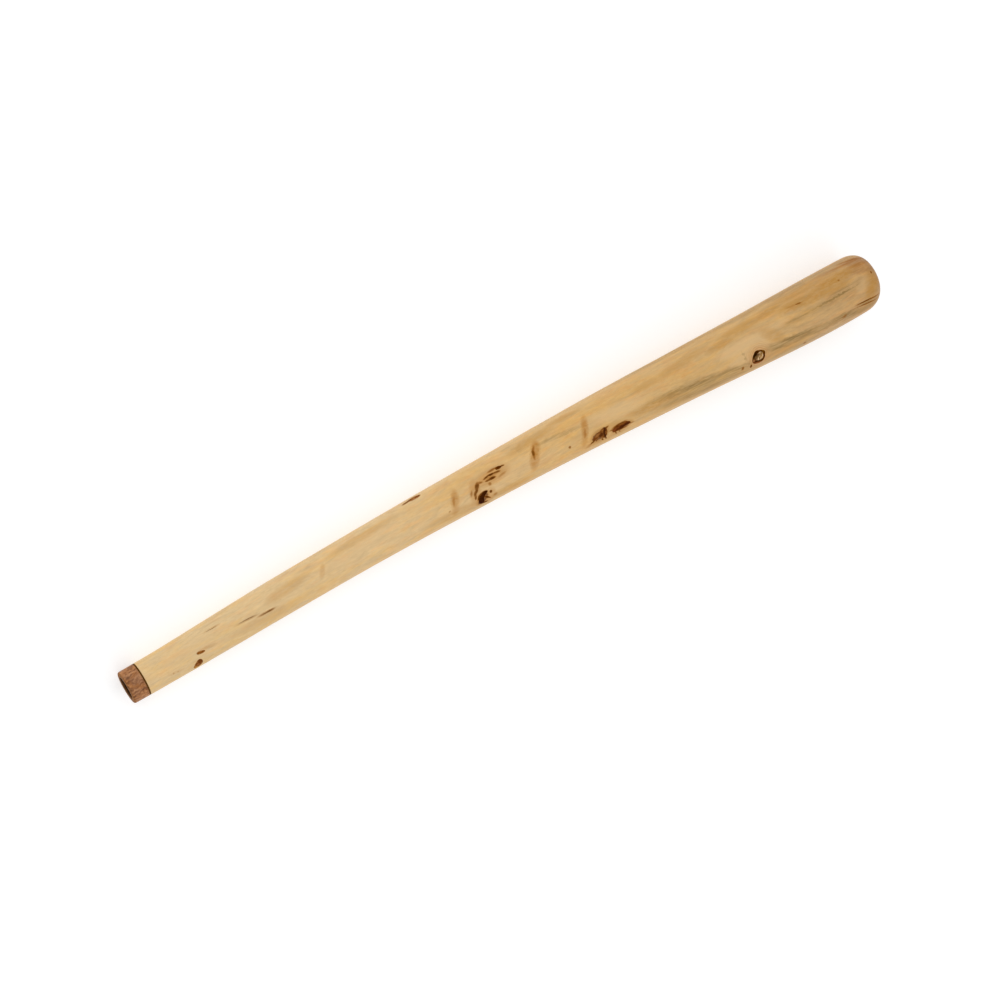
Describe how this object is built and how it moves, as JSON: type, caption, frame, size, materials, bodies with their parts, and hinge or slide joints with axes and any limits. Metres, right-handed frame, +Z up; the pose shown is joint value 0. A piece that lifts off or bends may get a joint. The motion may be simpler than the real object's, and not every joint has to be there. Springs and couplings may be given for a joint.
{
  "type": "didgeridoo",
  "caption": "Drone pipe made of a naturally hollow, gently bowed log that widens to its bell, blown through a turned hardwood ring; knots and voids in the log are filled flush.",
  "frame": {"origin": "the middle of the instrument's footprint, on the floor it lies on", "axes": "+X from the mouthpiece to the bell along the floor, +Z up, +Y towards the outside of the bow; the instrument lies in its own resting attitude on the belly of its bow and its bell"},
  "size_m": [1.2518, 0.0894, 0.0898],
  "materials": {
    "pale_wood": "pale eucalypt heartwood, long grain, sanded and sealed to a satin sheen",
    "ring_wood": "turned reddish-brown hardwood, oiled, dark pores",
    "dark_veneer": "dark brown veneer edge",
    "resin_fill": "dark brown resin mixed with wood dust, sanded flush",
    "knot_wood": "dead knot wood, brown, sanded flush",
    "knot_heart": "weathered grey-brown end grain with small cracks",
    "knot_bark": "charcoal-brown bark and gum ring round the knot"
  },
  "bodies": {
    "root": {"log_body": "pale_wood", "mouthpiece_ring": "ring_wood", "spacer_ring": "dark_veneer", "knot_bell_stub": "knot_heart", "knot_bell_bark": "knot_bark", "fill_belly_left": "resin_fill", "fill_belly_right": "resin_fill", "fill_centre": "resin_fill", "knot_centre": "knot_wood", "knot_back_edge": "knot_wood", "knot_mouth_low": "knot_wood", "knot_mouth_high": "knot_wood"}
  },
  "joints": []
}
